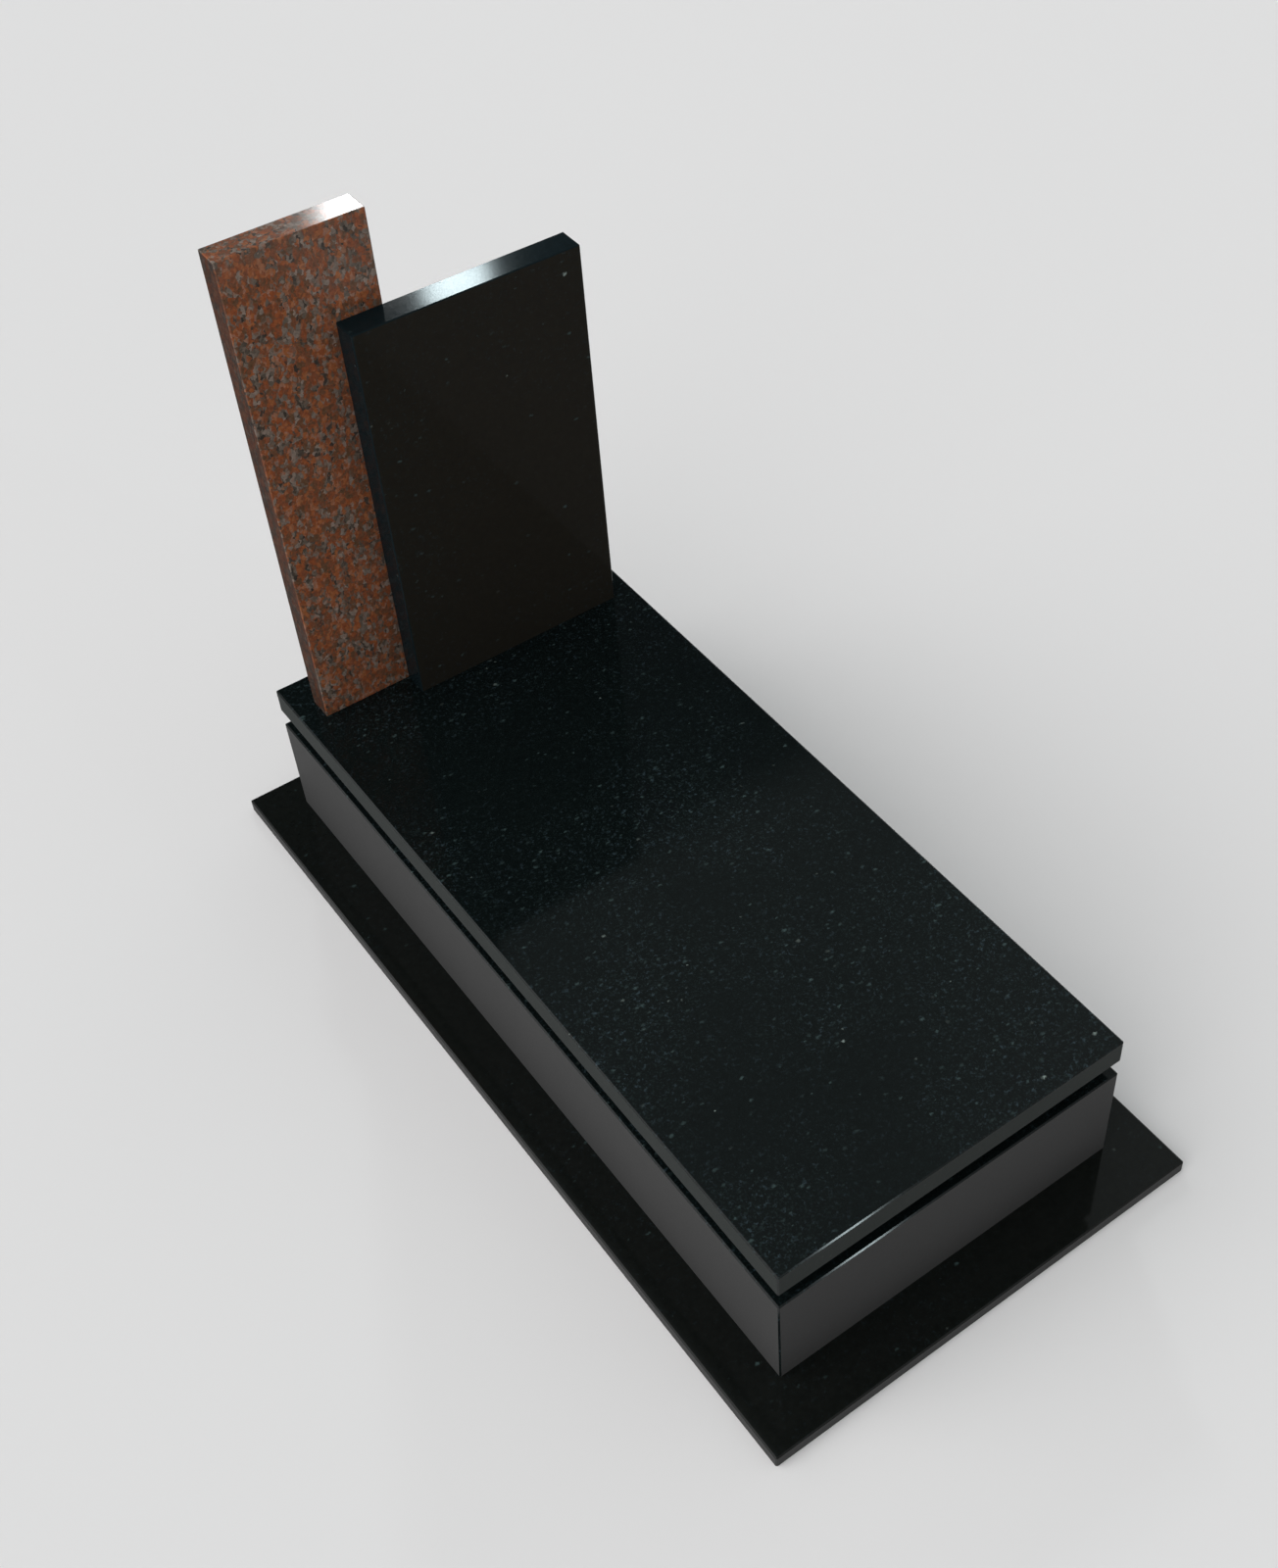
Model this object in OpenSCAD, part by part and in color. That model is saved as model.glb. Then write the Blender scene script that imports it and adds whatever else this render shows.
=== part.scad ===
// Grave monument of polished granite: a ground slab, a kerb of four mitred stones, a cover slab that floats
// over a shadow gap, and two upright steles that stand on the cover, the red one behind the black one.
// Frame: origin at the middle of the underside, +X to the right, +Y to the head of the grave, +Z up.

/* [Ground slab] */
// Width of the ground slab
ground_w = 1000; // [900:10:1400]
// Length of the ground slab
ground_l = 2000; // [1940:10:2600]
// Thickness of the ground slab
ground_t = 30; // [20:5:100]

/* [Kerb] */
// Outer width of the kerb, and width of the cover slab
kerb_w = 800; // [700:10:880]
// Outer length of the kerb, and length of the cover slab
kerb_l = 1800; // [1500:10:1870]
// Height of the kerb stones
kerb_h = 250; // [100:10:500]
// Thickness of the kerb stones
kerb_wall = 80; // [60:5:150]
// Strip of ground slab left clear in front of the kerb
foot_margin = 120; // [20:5:180]

/* [Shadow gap] */
// Height of the gap between kerb and cover slab, and of the strips in it
gap_h = 40; // [20:5:80]
// Width of the strips that carry the cover slab
riser_w = 40; // [20:5:50]

/* [Cover slab] */
// Thickness of the cover slab
cover_t = 60; // [40:5:120]

/* [Steles] */
// Width of the red stele
red_w = 300; // [200:10:400]
// Height of the red stele
red_h = 1100; // [800:10:1300]
// Thickness of the red stele
red_t = 60; // [50:5:100]
// Width of the black stele
black_w = 500; // [300:10:600]
// Height of the black stele
black_h = 900; // [600:10:1200]
// Thickness of the black stele
black_t = 60; // [50:5:100]
// Cover slab left clear at the outer side of each stele
side_margin = 50; // [20:5:90]
// Cover slab left clear behind the red stele
head_margin = 80; // [20:5:200]

/* [Arrises] */
// Leg of the bevel on the edges of the slabs and the kerb
slab_arris = 3; // [1:0.5:6]
// Leg of the bevel on the edges of the steles
stele_arris = 2; // [1:0.5:6]

/* [Hidden] */

// Places along the grave: the foot and head ends of the kerb and cover slab
foot_y = -ground_l / 2 + foot_margin;
head_y = foot_y + kerb_l;
mid_y = (foot_y + head_y) / 2;

// Heights at which each layer starts
kerb_z = ground_t;
riser_z = kerb_z + kerb_h;
cover_z = riser_z + gap_h;
stele_z = cover_z + cover_t;

// The strips stand flush with the inner faces of the kerb stones
riser_inset = kerb_wall - riser_w;
riser_frame_w = kerb_w - 2 * riser_inset;
riser_frame_l = kerb_l - 2 * riser_inset;

// The black stele stands against the front face of the red one
red_front_y = head_y - head_margin - red_t;
black_front_y = red_front_y - black_t;

// Colours of the two granites
BLACK_GRANITE = "#16191a";
RED_GRANITE = "#7a4030";

// Rectangle centred on the origin with its corners cut at 45 degrees
module bevelled_rect(size, arris) {
    x = size[0] / 2;
    y = size[1] / 2;
    polygon([
        [x - arris, -y], [x, -y + arris], [x, y - arris], [x - arris, y],
        [-x + arris, y], [-x, y - arris], [-x, -y + arris], [-x + arris, -y]
    ]);
}

// Slab standing on z = 0, centred in plan, with a bevel on all its edges, or on all but the lower ones:
// the two upright profiles then reach below z = 0 by a bevel, and the plan cuts that off square
module bevelled_slab(size, arris, square_foot = false) {
    profile_h = size[2] + (square_foot ? arris : 0);
    profile_z = size[2] - profile_h / 2;
    intersection() {
        linear_extrude(height = size[2]) bevelled_rect([size[0], size[1]], arris);
        translate([0, size[1] / 2, profile_z])
            rotate([90, 0, 0]) linear_extrude(height = size[1]) bevelled_rect([size[0], profile_h], arris);
        translate([-size[0] / 2, 0, profile_z])
            rotate([90, 0, 90]) linear_extrude(height = size[0]) bevelled_rect([size[1], profile_h], arris);
    }
}

// The kerb as one ring, before it is parted at its mitres: only its outer corners and top edge are bevelled
module kerb_ring() {
    difference() {
        bevelled_slab([kerb_w, kerb_l, kerb_h], slab_arris, square_foot = true);
        translate([-kerb_w / 2 + kerb_wall, -kerb_l / 2 + kerb_wall, -kerb_h])
            cube([kerb_w - 2 * kerb_wall, kerb_l - 2 * kerb_wall, 3 * kerb_h]);
    }
}

// Plan of a mitred stone along the +X side of the ring: 45 degree cuts run in from both outer corners
module mitred_plan(length, outer_x) {
    inner_x = outer_x - kerb_wall;
    polygon([
        [outer_x, -length / 2], [outer_x, length / 2],
        [inner_x, length / 2 - kerb_wall], [inner_x, -length / 2 + kerb_wall]
    ]);
}

// One stone of the kerb: the part of the ring that lies in the mitred plan, turned to its side
module kerb_stone(turn, length, outer) {
    color(BLACK_GRANITE)
        translate([0, mid_y, kerb_z])
            intersection() {
                kerb_ring();
                rotate([0, 0, turn]) linear_extrude(height = kerb_h) mitred_plan(length, outer);
            }
}

// One square strip in the shadow gap
module riser_strip(size, centre) {
    color(BLACK_GRANITE)
        translate([centre[0] - size[0] / 2, mid_y + centre[1] - size[1] / 2, riser_z])
            cube([size[0], size[1], gap_h]);
}

module ground_slab() {
    color(BLACK_GRANITE) bevelled_slab([ground_w, ground_l, ground_t], slab_arris, square_foot = true);
}

module kerb_right() { kerb_stone(0, kerb_l, kerb_w / 2); }
module kerb_left() { kerb_stone(180, kerb_l, kerb_w / 2); }
module kerb_head() { kerb_stone(90, kerb_w, kerb_l / 2); }
module kerb_foot() { kerb_stone(-90, kerb_w, kerb_l / 2); }

// The side strips run the full length, and the end strips fit between them
side_strip = [riser_w, riser_frame_l];
end_strip = [riser_frame_w - 2 * riser_w, riser_w];
side_strip_x = (riser_frame_w - riser_w) / 2;
end_strip_y = (riser_frame_l - riser_w) / 2;

module riser_left() { riser_strip(side_strip, [-side_strip_x, 0]); }
module riser_right() { riser_strip(side_strip, [side_strip_x, 0]); }
module riser_foot() { riser_strip(end_strip, [0, -end_strip_y]); }
module riser_head() { riser_strip(end_strip, [0, end_strip_y]); }

module cover_slab() {
    color(BLACK_GRANITE)
        translate([0, mid_y, cover_z]) bevelled_slab([kerb_w, kerb_l, cover_t], slab_arris);
}

module red_stele() {
    color(RED_GRANITE)
        translate([-kerb_w / 2 + side_margin + red_w / 2, red_front_y + red_t / 2, stele_z])
            bevelled_slab([red_w, red_t, red_h], stele_arris, square_foot = true);
}

module black_stele() {
    color(BLACK_GRANITE)
        translate([kerb_w / 2 - side_margin - black_w / 2, black_front_y + black_t / 2, stele_z])
            bevelled_slab([black_w, black_t, black_h], stele_arris, square_foot = true);
}

ground_slab();
kerb_left();
kerb_right();
kerb_foot();
kerb_head();
riser_left();
riser_right();
riser_foot();
riser_head();
cover_slab();
red_stele();
black_stele();
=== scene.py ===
import math

import bmesh
import bpy
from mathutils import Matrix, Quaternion, Vector


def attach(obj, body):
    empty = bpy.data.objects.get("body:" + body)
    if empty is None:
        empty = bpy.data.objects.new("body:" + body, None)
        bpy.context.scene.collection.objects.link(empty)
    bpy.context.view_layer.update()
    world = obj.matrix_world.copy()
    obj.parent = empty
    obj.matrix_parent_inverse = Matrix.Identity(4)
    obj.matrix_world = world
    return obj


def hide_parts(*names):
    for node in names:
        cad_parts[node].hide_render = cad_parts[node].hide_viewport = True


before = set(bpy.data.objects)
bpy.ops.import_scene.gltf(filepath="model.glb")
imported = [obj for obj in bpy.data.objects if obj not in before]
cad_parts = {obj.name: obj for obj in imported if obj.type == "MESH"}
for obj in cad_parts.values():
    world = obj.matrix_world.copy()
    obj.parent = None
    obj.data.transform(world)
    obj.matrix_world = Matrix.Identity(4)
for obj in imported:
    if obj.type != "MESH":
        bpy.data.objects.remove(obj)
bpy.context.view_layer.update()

MM = 0.001

# ---- Stones ------------------------------------------------------------------------------------

KERB_STONES = ("kerb_left", "kerb_right", "kerb_foot", "kerb_head")
RISERS = ("riser_left", "riser_right", "riser_foot", "riser_head")
ARRIS_EASE = 0.4 * MM  # how far a mason's rubbing block rounds the two edges of each sawn arris
ARRIS_SEGMENTS = 2  # steps in that rounding
WELD = 0.01 * MM  # corners nearer than this are one corner
FLAT_TURN = math.radians(1)  # faces that turn less than this are one flat face
ARRIS_TURN = (math.radians(30), math.radians(70))  # the turn at the edges of a 45 degree arris
FACES_AXIS = 0.9  # how much of a normal lies along an axis that its face is turned to
FIRST, SECOND = 0, 1  # the two finishes that one stone may have

# ---- Grain -------------------------------------------------------------------------------------
# Black gabbro has crystals of 1 to 3 mm, and a coarse red granite has grains of 5 to 12 mm. A view
# of the whole grave shows nothing under about 4 mm, so what is finer is drawn as coarse as that.

CUT_FROM = (2.2, -1.8, -3.0)  # metres into the quarry block: it moves the clouds of crystals
BLACK_CLOUD = 380 * MM  # how far apart the crystals crowd together
BLACK_MOTTLE = 13 * MM
BLACK_CLOT = 8.7 * MM
BLACK_CRUMB = 4.3 * MM
BLACK_SPARK = 8.0 * MM
PALE_CRYSTAL = 8.5 * MM
HONED_CLOUD = 250 * MM
HONED_GRAIN = 3.8 * MM
HONED_SPOT = 5.0 * MM
RED_CLOUD = 50 * MM
RED_GRAIN = 10.5 * MM
RED_CHIP = 6.2 * MM
RED_SPECK = 4.5 * MM
RED_LIES = (1.0, 1.0, 0.62)  # the red grains stand half as tall again as they are wide

# ---- Camera and studio -------------------------------------------------------------------------

SENSOR = 36.0
LENS = 45.77
CAMERA_PLACE = Vector((-1.383, -2.245, 3.368))
CAMERA_HEADING = 36.57  # degrees from +Y towards +X
CAMERA_DROP = 47.54  # degrees below the horizon
CAMERA_ROLL = math.radians(-0.96)
CAMERA_SHIFT = (-0.0925, 0.0204)

PALE_WALL = "#DEDEDE"
PALE_FLOOR = "#E6E4E4"
COOL_LAMP = "#E9FBFF"
FLOOR_RADIUS = 40.0
FLOOR_SIDES = 96

SHARE, UNDER, OVER, MIXED = 0, 6, 7, 2  # the sockets of a Mix node that mixes colours


def linear(code):
    """An sRGB hex colour as linear RGBA."""
    parts = [int(code[i:i + 2], 16) / 255 for i in (1, 3, 5)]
    return [c / 12.92 if c <= 0.04045 else ((c + 0.055) / 1.055) ** 2.4 for c in parts] + [1.0]


def add(tree, kind, inputs=None, stops=None, **settings):
    """Adds one node. inputs holds values, hex colours or sockets to link; stops fills a ramp."""
    node = tree.nodes.new(kind)
    for name, value in settings.items():
        setattr(node, name, value)
    for name, value in (inputs or {}).items():
        if isinstance(value, bpy.types.NodeSocket):
            tree.links.new(value, node.inputs[name])
        else:
            node.inputs[name].default_value = linear(value) if isinstance(value, str) else value
    if stops:
        ramp = node.color_ramp.elements
        while len(ramp) < len(stops):
            ramp.new(1.0)
        for stop, (place, colour) in zip(ramp, stops):
            stop.position = place
            stop.color = linear(colour)
    return node


def new_material(name):
    """A material with an empty node tree."""
    material = bpy.data.materials.new(name)
    material.use_nodes = True
    material.node_tree.nodes.clear()
    return material, material.node_tree


# ---- Patterns in the stone ---------------------------------------------------------------------

def grain_places(tree, wander, size):
    """Object coordinates, stirred by noise of one size up to wander away, so that no grain has a
    straight side."""
    place = add(tree, "ShaderNodeTexCoord").outputs["Object"]
    stir = add(tree, "ShaderNodeTexNoise", {"Vector": place, "Scale": 1 / size, "Detail": 2.0})
    centred = add(tree, "ShaderNodeVectorMath", {0: stir.outputs["Color"], 1: (0.5, 0.5, 0.5)},
                  operation="SUBTRACT")
    moved = add(tree, "ShaderNodeVectorMath", {0: centred.outputs[0], "Scale": 2 * wander},
                operation="SCALE")
    return add(tree, "ShaderNodeVectorMath", {0: place, 1: moved.outputs[0]}, operation="ADD").outputs[0]


def flecks(tree, place, size, stretch, turn, share, crowd):
    """A mask of scattered crystals, up to size across and stretch times as long, on a share of the
    places. Most are faint, because few lie flat enough to catch the light."""
    grid = add(tree, "ShaderNodeMapping",
               {"Vector": place, "Rotation": turn, "Scale": (1 / (size * stretch), 1 / size, 1 / size)})
    cells = add(tree, "ShaderNodeTexVoronoi", {"Vector": grid.outputs[0], "Scale": 1.0})
    luck = add(tree, "ShaderNodeSeparateColor", {0: cells.outputs["Color"]})
    limit = add(tree, "ShaderNodeMath", {0: crowd, 1: share}, operation="MULTIPLY")
    chosen = add(tree, "ShaderNodeMath", {0: luck.outputs["Red"], 1: limit.outputs[0]},
                 operation="LESS_THAN")
    reach = add(tree, "ShaderNodeMapRange",
                {"Value": luck.outputs["Blue"], "To Min": 0.22, "To Max": 0.70})
    shape = add(tree, "ShaderNodeMapRange",
                {"Value": cells.outputs["Distance"], "From Min": 0.05, "From Max": reach.outputs[0],
                 "To Min": 1.0, "To Max": 0.0}, interpolation_type="SMOOTHSTEP")
    shine = add(tree, "ShaderNodeMath", {0: luck.outputs["Green"], 1: 2.5}, operation="POWER")
    body = add(tree, "ShaderNodeMath", {0: chosen.outputs[0], 1: shape.outputs[0]},
               operation="MULTIPLY")
    return add(tree, "ShaderNodeMath", {0: body.outputs[0], 1: shine.outputs[0]},
               operation="MULTIPLY").outputs[0]


def clumps(tree, noise, start, full, crowd):
    """A mask of ragged clumps that begin where the noise passes start, are whole where it passes
    full, and thin out where the crystals crowd less."""
    cover = add(tree, "ShaderNodeMapRange", {"Value": noise, "From Min": start, "From Max": full},
                interpolation_type="SMOOTHSTEP")
    return add(tree, "ShaderNodeMath", {0: cover.outputs[0], 1: crowd}, operation="MULTIPLY").outputs[0]


def roughness(tree, noise, low, high):
    """A roughness that follows the grain, because each mineral takes the polish differently."""
    follow = add(tree, "ShaderNodeMapRange",
                 {"Value": noise, "From Min": 0.30, "From Max": 0.70, "To Min": low, "To Max": high})
    return follow.outputs[0]


# ---- Finishes ----------------------------------------------------------------------------------

def polished_black_granite(name, dark, light, crowding, gloss_ior):
    """Black gabbro sold as black granite, sawn and polished: near black and wet-looking, with dim
    blue-green crystals that crowd in clouds, and a rare pale one. Polished gabbro has an IOR of
    about 1.5. These slabs mirror far less of a pale room than that, so theirs is lower."""
    material, tree = new_material(name)
    place = grain_places(tree, wander=3.6 * MM, size=6 * MM)
    in_block = add(tree, "ShaderNodeVectorMath", {0: place, 1: CUT_FROM}, operation="ADD").outputs[0]
    cloud = add(tree, "ShaderNodeTexNoise", {"Vector": in_block, "Scale": 1 / BLACK_CLOUD, "Detail": 2.0})
    crowd = add(tree, "ShaderNodeMapRange",
                {"Value": cloud.outputs[0], "From Min": 0.38, "From Max": 0.64,
                 "To Min": 0.25 * crowding, "To Max": 1.25 * crowding}).outputs[0]
    mottle = add(tree, "ShaderNodeTexNoise", {"Vector": place, "Scale": 1 / BLACK_MOTTLE, "Detail": 2.0})
    fine = add(tree, "ShaderNodeTexNoise", {"Vector": place, "Scale": 1 / BLACK_CRUMB, "Detail": 1.0})
    ragged = add(tree, "ShaderNodeTexNoise",
                 {"Vector": place, "Scale": 1 / BLACK_CLOT, "Detail": 3.0, "Roughness": 0.65})
    crumbs = clumps(tree, fine.outputs[0], 0.54, 0.74, crowd)
    clots = clumps(tree, ragged.outputs[0], 0.55, 0.78, crowd)
    sparks = flecks(tree, place, BLACK_SPARK, 1.6, (0.3, 0.2, 2.0), 0.22, crowd)
    pale_ones = flecks(tree, place, PALE_CRYSTAL, 1.3, (0.1, 0.6, 0.8), 0.012, crowd)
    layers = [(mottle.outputs[0], light), (crumbs, "#192222"), (clots, "#2F3C42"),
              (sparks, "#3A4949"), (pale_ones, "#84918C")]
    colour = dark
    for mask, crystal in layers:
        layer = add(tree, "ShaderNodeMix", {SHARE: mask, UNDER: colour, OVER: crystal}, data_type="RGBA")
        colour = layer.outputs[MIXED]
    shader = add(tree, "ShaderNodeBsdfPrincipled",
                 {"Base Color": colour, "Roughness": roughness(tree, fine.outputs[0], 0.067, 0.083),
                  "IOR": gloss_ior})
    add(tree, "ShaderNodeOutputMaterial", {"Surface": shader.outputs[0]})
    return material


def honed_black_granite(name, dark, light):
    """The same stone honed with a fine block and not polished: its dull surface scatters light,
    so it reads as a flat dark grey in which the crystals hardly show, with next to no gloss."""
    material, tree = new_material(name)
    place = grain_places(tree, wander=1 * MM, size=4 * MM)
    cloud = add(tree, "ShaderNodeTexNoise", {"Vector": place, "Scale": 1 / HONED_CLOUD, "Detail": 4.0})
    grain = add(tree, "ShaderNodeTexNoise", {"Vector": place, "Scale": 1 / HONED_GRAIN, "Detail": 2.0})
    ground = add(tree, "ShaderNodeMix", {SHARE: cloud.outputs[0], UNDER: dark, OVER: light},
                 data_type="RGBA")
    spots = flecks(tree, place, HONED_SPOT, 1.4, (0.4, 0.3, 0.9), 0.10, cloud.outputs[0])
    dim_spots = add(tree, "ShaderNodeMath", {0: spots, 1: 0.35}, operation="MULTIPLY")
    colour = add(tree, "ShaderNodeMix",
                 {SHARE: dim_spots.outputs[0], UNDER: ground.outputs[MIXED], OVER: "#5A5C5A"},
                 data_type="RGBA")
    bump = add(tree, "ShaderNodeBump",
               {"Height": grain.outputs[0], "Strength": 0.15, "Distance": 0.5 * MM})
    shader = add(tree, "ShaderNodeBsdfPrincipled",
                 {"Base Color": colour.outputs[MIXED], "Normal": bump.outputs[0], "IOR": 1.12,
                  "Roughness": roughness(tree, grain.outputs[0], 0.58, 0.66)})
    add(tree, "ShaderNodeOutputMaterial", {"Surface": shader.outputs[0]})
    return material


def red_grains(tree):
    """The colour of red granite, and the fine speckle in it: each grain is one mineral, from dark
    mica through grey quartz and brown to brick red and pale feldspar, broken up by smaller ones."""
    place = grain_places(tree, wander=5.5 * MM, size=9 * MM)
    lain = add(tree, "ShaderNodeMapping", {"Vector": place, "Scale": RED_LIES}).outputs[0]
    grain = add(tree, "ShaderNodeTexVoronoi", {"Vector": lain, "Scale": 1 / RED_GRAIN})
    chip = add(tree, "ShaderNodeTexVoronoi", {"Vector": lain, "Scale": 1 / RED_CHIP})
    cloud = add(tree, "ShaderNodeTexNoise", {"Vector": place, "Scale": 1 / RED_CLOUD, "Detail": 2.0})
    speck = add(tree, "ShaderNodeTexNoise", {"Vector": place, "Scale": 1 / RED_SPECK, "Detail": 1.0})
    grain_luck = add(tree, "ShaderNodeSeparateColor", {0: grain.outputs["Color"]})
    chip_luck = add(tree, "ShaderNodeSeparateColor", {0: chip.outputs["Color"]})

    def weighted_sum(parts):
        """The sum of some noises, each times its weight."""
        total = 0.0
        for noise, weight in parts:
            total = add(tree, "ShaderNodeMath", {0: noise, 1: weight, 2: total},
                        operation="MULTIPLY_ADD").outputs[0]
        return total

    warmth = weighted_sum([(grain_luck.outputs["Red"], 0.5), (chip_luck.outputs["Red"], 0.5)])
    greyness = weighted_sum([(grain_luck.outputs["Blue"], 0.45), (chip_luck.outputs["Blue"], 0.30),
                             (cloud.outputs[0], 0.50)])
    feldspar = add(tree, "ShaderNodeValToRGB", {0: warmth},
                   stops=[(0.10, "#574130"), (0.30, "#634432"), (0.45, "#714430"), (0.60, "#81472C"),
                          (0.75, "#8A5636"), (0.90, "#866150")])
    quartz = add(tree, "ShaderNodeValToRGB", {0: chip_luck.outputs["Green"]},
                 stops=[(0.00, "#35302C"), (0.25, "#4D453D"), (0.55, "#63584F"), (0.80, "#70645B"),
                        (1.00, "#817268")])
    grey = add(tree, "ShaderNodeMapRange", {"Value": greyness, "From Min": 0.64, "From Max": 0.74})
    mineral = add(tree, "ShaderNodeMix",
                  {SHARE: grey.outputs[0], UNDER: feldspar.outputs[0], OVER: quartz.outputs[0]},
                  data_type="RGBA")
    shade = add(tree, "ShaderNodeMapRange",
                {"Value": speck.outputs[0], "From Min": 0.30, "From Max": 0.70, "To Min": 0.77,
                 "To Max": 1.15})
    colour = add(tree, "ShaderNodeMix",
                 {SHARE: 1.0, UNDER: mineral.outputs[MIXED], OVER: shade.outputs[0]},
                 data_type="RGBA", blend_type="MULTIPLY")
    return colour.outputs[MIXED], speck.outputs[0]


def polished_red_granite():
    """Red granite, sawn and polished: brick red and brown feldspar with grey quartz and near-black
    mica between the grains, all under one clear gloss. Its IOR is lower than the usual 1.5, for
    the reason that the black stone's is."""
    material, tree = new_material("polished_red_granite")
    colour, speck = red_grains(tree)
    shader = add(tree, "ShaderNodeBsdfPrincipled",
                 {"Base Color": colour, "Roughness": roughness(tree, speck, 0.10, 0.08), "IOR": 1.26})
    add(tree, "ShaderNodeOutputMaterial", {"Surface": shader.outputs[0]})
    return material


def honed_red_granite():
    """The same red stone honed with a fine block on its narrow sides: the dull surface darkens and
    greys the grains, so they show only as a soft mottle."""
    material, tree = new_material("honed_red_granite")
    grains, speck = red_grains(tree)
    colour = add(tree, "ShaderNodeMix", {SHARE: 0.74, UNDER: grains, OVER: "#1F1715"},
                 data_type="RGBA")
    bump = add(tree, "ShaderNodeBump", {"Height": speck, "Strength": 0.15, "Distance": 0.5 * MM})
    shader = add(tree, "ShaderNodeBsdfPrincipled",
                 {"Base Color": colour.outputs[MIXED], "Normal": bump.outputs[0], "IOR": 1.10,
                  "Roughness": roughness(tree, speck, 0.64, 0.56)})
    add(tree, "ShaderNodeOutputMaterial", {"Surface": shader.outputs[0]})
    return material


# ---- Meshes ------------------------------------------------------------------------------------

def upright(normal):
    """The upright faces, but not the arrises between them, which are polished as the tops are."""
    return max(abs(normal.x), abs(normal.y)) > FACES_AXIS


def narrow_sides(normal):
    """The upright faces at the left and right."""
    return abs(normal.x) > FACES_AXIS


def all_edges(normal):
    """Every face but the broad front and back."""
    return abs(normal.y) < FACES_AXIS


def dressed_mesh(node, second_finish):
    """The CAD stone's faces joined back into flat ones, its arrises marked, and each face given
    its finish: second_finish says which faces take the second one, and the rest take the first."""
    stone = bmesh.new()
    stone.from_mesh(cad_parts[node].data)
    bmesh.ops.remove_doubles(stone, verts=stone.verts, dist=WELD)
    bmesh.ops.dissolve_limit(stone, angle_limit=FLAT_TURN, verts=stone.verts, edges=stone.edges)
    eased = stone.edges.layers.float.new("bevel_weight_edge")
    for edge in stone.edges:
        turn = edge.calc_face_angle(0.0)
        edge[eased] = 1.0 if ARRIS_TURN[0] < turn < ARRIS_TURN[1] else 0.0
    for face in stone.faces:
        face.material_index = SECOND if second_finish(face.normal) else FIRST
    mesh = bpy.data.meshes.new(node + "_dressed")
    stone.to_mesh(mesh)
    stone.free()
    return mesh


def dressed_stone(node, second_finish, materials):
    """One stone with its arrises eased, standing for its CAD node."""
    mesh = dressed_mesh(node, second_finish)
    for material in materials:
        mesh.materials.append(material)
    piece = bpy.data.objects.new(mesh.name, mesh)
    bpy.context.scene.collection.objects.link(piece)
    ease = piece.modifiers.new("eased arris", "BEVEL")
    ease.limit_method = "WEIGHT"
    ease.width = ARRIS_EASE
    ease.segments = ARRIS_SEGMENTS
    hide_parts(node)
    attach(piece, "root")


def dress_slabs():
    """The ground slab, kerb, risers and cover slab: tops polished, upright faces honed. The ground slab
    has few crystals, and its black is a little greyer than the cover's: partly its own tone, and partly
    painted reflection, lifted to stand in for the light that its top mirrors towards the front."""
    cover_top = polished_black_granite(
        "polished_black_granite", dark="#070B0B", light="#0E1414", crowding=1.0, gloss_ior=1.24)
    # partly painted reflection: the ground slab's greyer black is lifted above the stone's own to stand
    # in for the light its top mirrors
    ground_top_partly_painted_reflection = polished_black_granite(
        "polished_black_granite_ground_partly_painted_reflection", dark="#0C0E0D", light="#161816", crowding=0.22, gloss_ior=1.24)
    kerb_sides = honed_black_granite("honed_black_granite", dark="#3D3D3D", light="#414141")
    cover_sides = honed_black_granite("honed_black_granite_cover", dark="#2F3231", light="#333635")
    dressed_stone("ground_slab", upright, (ground_top_partly_painted_reflection, kerb_sides))
    dressed_stone("cover_slab", upright, (cover_top, cover_sides))
    for node in KERB_STONES + RISERS:
        dressed_stone(node, upright, (cover_top, kerb_sides))


def dress_black_stele():
    """The black stele: polished all over, its broad faces a lighter, warmer black than its edges. That
    lift is painted reflection: it stands in for the gloss that the faces' low IOR of 1.08 leaves out.
    """
    # painted reflection: the broad faces' lighter, warmer black stands in for the gloss their low IOR
    # leaves out
    faces = polished_black_granite(
        "polished_black_granite_face_painted_reflection", dark="#1D1B18", light="#22201B", crowding=0.35, gloss_ior=1.08)
    edges = polished_black_granite(
        "polished_black_granite_edge", dark="#0F1719", light="#131D21", crowding=0.2, gloss_ior=1.12)
    dressed_stone("black_stele", all_edges, (faces, edges))


def dress_red_stele():
    """The red stele: polished, and honed on its two narrow sides."""
    dressed_stone("red_stele", narrow_sides, (polished_red_granite(), honed_red_granite()))


# ---- Studio ------------------------------------------------------------------------------------

def lay_floor():
    """A wide round floor of pale matt card."""
    material, tree = new_material("pale_card")
    card = add(tree, "ShaderNodeBsdfDiffuse", {"Color": PALE_FLOOR})
    add(tree, "ShaderNodeOutputMaterial", {"Surface": card.outputs[0]})
    disc = bmesh.new()
    bmesh.ops.create_circle(disc, cap_ends=True, segments=FLOOR_SIDES, radius=FLOOR_RADIUS)
    mesh = bpy.data.meshes.new("studio_floor")
    disc.to_mesh(mesh)
    disc.free()
    mesh.materials.append(material)
    floor = bpy.data.objects.new("studio_floor", mesh)
    bpy.context.scene.collection.objects.link(floor)


def direction(heading, height):
    """The unit vector at a heading from +Y towards +X, and a height above the horizon, in degrees."""
    a, e = math.radians(heading), math.radians(height)
    return Vector((math.sin(a) * math.cos(e), math.cos(a) * math.cos(e), math.sin(e)))


def hang_lamp(name, heading, height, spread, brightness, colour="#FFFFFF"):
    """A round softbox far away and spread degrees across. brightness is how brightly it lights a
    white face that is turned to it."""
    lamp = bpy.data.lights.new(name, "SUN")
    lamp.color = linear(colour)[:3]
    lamp.angle = math.radians(spread)
    lamp.energy = brightness * math.pi
    holder = bpy.data.objects.new(name, lamp)
    holder.rotation_mode = "QUATERNION"
    holder.rotation_quaternion = direction(heading, height).to_track_quat("Z", "Y")
    bpy.context.scene.collection.objects.link(holder)


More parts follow.
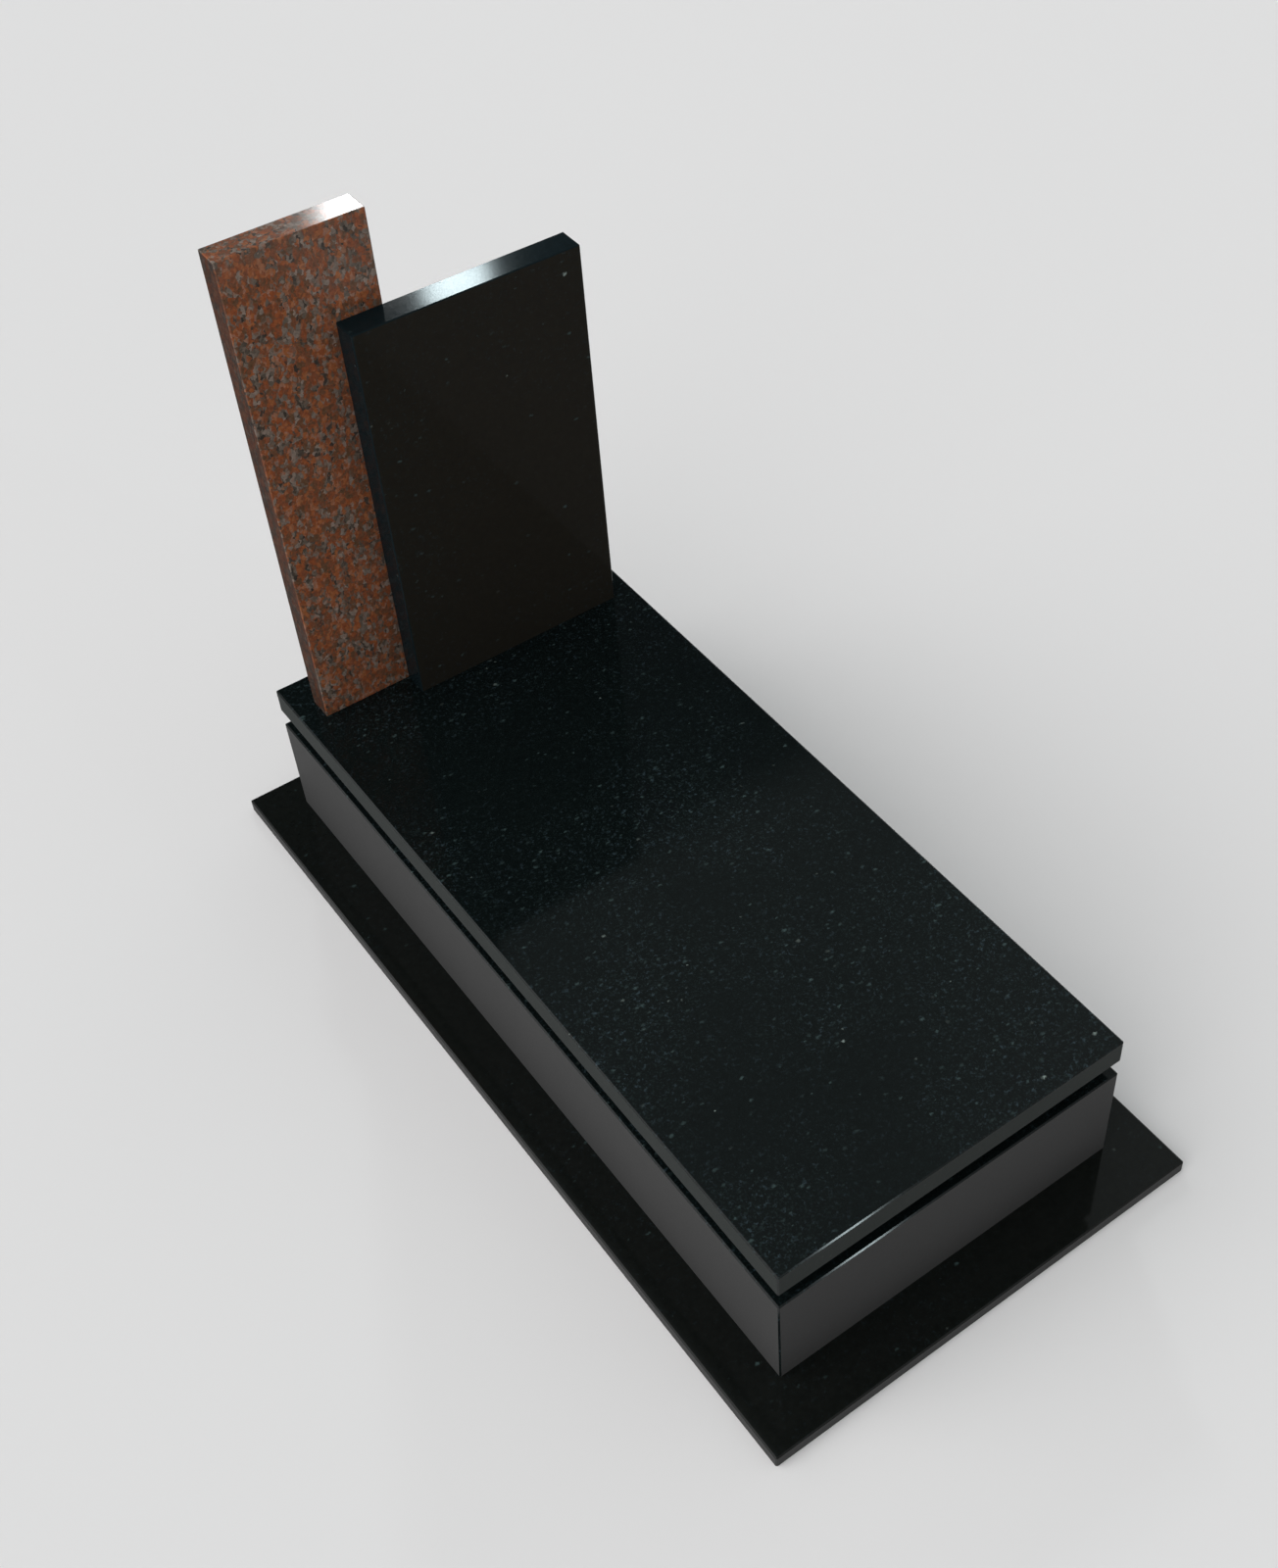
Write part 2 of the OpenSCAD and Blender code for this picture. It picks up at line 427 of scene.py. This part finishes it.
def hang_lamps():
    """One large softbox on the left lights everything. Three small lamps hardly light the stone, but
    show in its gloss: on the top of each stele, and along the arrises at the foot."""
    hang_lamp("side_softbox", heading=-85, height=43, spread=90, brightness=0.79)
    hang_lamp("black_top_lamp", heading=26.2, height=32.0, spread=1.9, brightness=0.026, colour=COOL_LAMP)
    hang_lamp("red_top_lamp", heading=24.2, height=29.6, spread=3.2, brightness=0.034)
    hang_lamp("foot_edge_lamp", heading=159.2, height=22.8, spread=1.6, brightness=0.011,
              colour=COOL_LAMP)


def paint_surround():
    """A pale wall round the studio, as high as the eye-level pictures need, with dim air above it.
    In the air are a faint glow behind on the right, a wide ceiling softbox that ends in a straight
    edge across the grave, and a brighter patch on the right."""
    world = bpy.data.worlds.new("studio")
    bpy.context.scene.world = world
    world.use_nodes = True
    tree = world.node_tree
    tree.nodes.clear()
    look = add(tree, "ShaderNodeTexCoord").outputs["Generated"]

    def patch(heading, height, edge, core):
        """A soft round patch of sky: 0 at the cosine edge from its centre, 1 at the cosine core."""
        towards = add(tree, "ShaderNodeVectorMath", {0: look, 1: direction(heading, height)},
                      operation="DOT_PRODUCT")
        return add(tree, "ShaderNodeMapRange",
                   {"Value": towards.outputs["Value"], "From Min": edge, "From Max": core},
                   interpolation_type="SMOOTHSTEP").outputs[0]

    air = patch(heading=0, height=90, edge=0.46, core=0.54)
    glow = patch(heading=58, height=40, edge=0.88, core=0.93)
    softbox = patch(heading=90, height=76, edge=0.70, core=0.75)
    ceiling_half = patch(heading=180, height=37.5, edge=-0.012, core=0.012)
    bright_patch = patch(heading=75, height=50, edge=0.92, core=1.0)
    ceiling = add(tree, "ShaderNodeMath", {0: softbox, 1: ceiling_half}, operation="MULTIPLY").outputs[0]
    colour = PALE_WALL
    for mask, light in ((air, "#1C1E1F"), (glow, "#4A4F52"), (ceiling, "#A6ADAD"),
                        (bright_patch, "#D6DCDC")):
        layer = add(tree, "ShaderNodeMix", {SHARE: mask, UNDER: colour, OVER: light}, data_type="RGBA")
        colour = layer.outputs[MIXED]
    shine = add(tree, "ShaderNodeBackground", {"Color": colour, "Strength": 1.0})
    add(tree, "ShaderNodeOutputWorld", {"Surface": shine.outputs[0]})


def set_camera():
    """A camera high over the left foot corner, looking down along the grave."""
    data = bpy.data.cameras.new("camera")
    data.sensor_width = SENSOR
    data.lens = LENS
    data.shift_x, data.shift_y = CAMERA_SHIFT
    camera = bpy.data.objects.new("camera", data)
    look = direction(CAMERA_HEADING, -CAMERA_DROP)
    camera.rotation_mode = "QUATERNION"
    camera.rotation_quaternion = look.to_track_quat("-Z", "Y") @ Quaternion((0, 0, 1), CAMERA_ROLL)
    camera.location = CAMERA_PLACE
    bpy.context.scene.collection.objects.link(camera)
    bpy.context.scene.camera = camera


set_camera()
dress_slabs()
dress_black_stele()
dress_red_stele()
lay_floor()
paint_surround()
hang_lamps()
bpy.context.scene.view_settings.view_transform = "Standard"
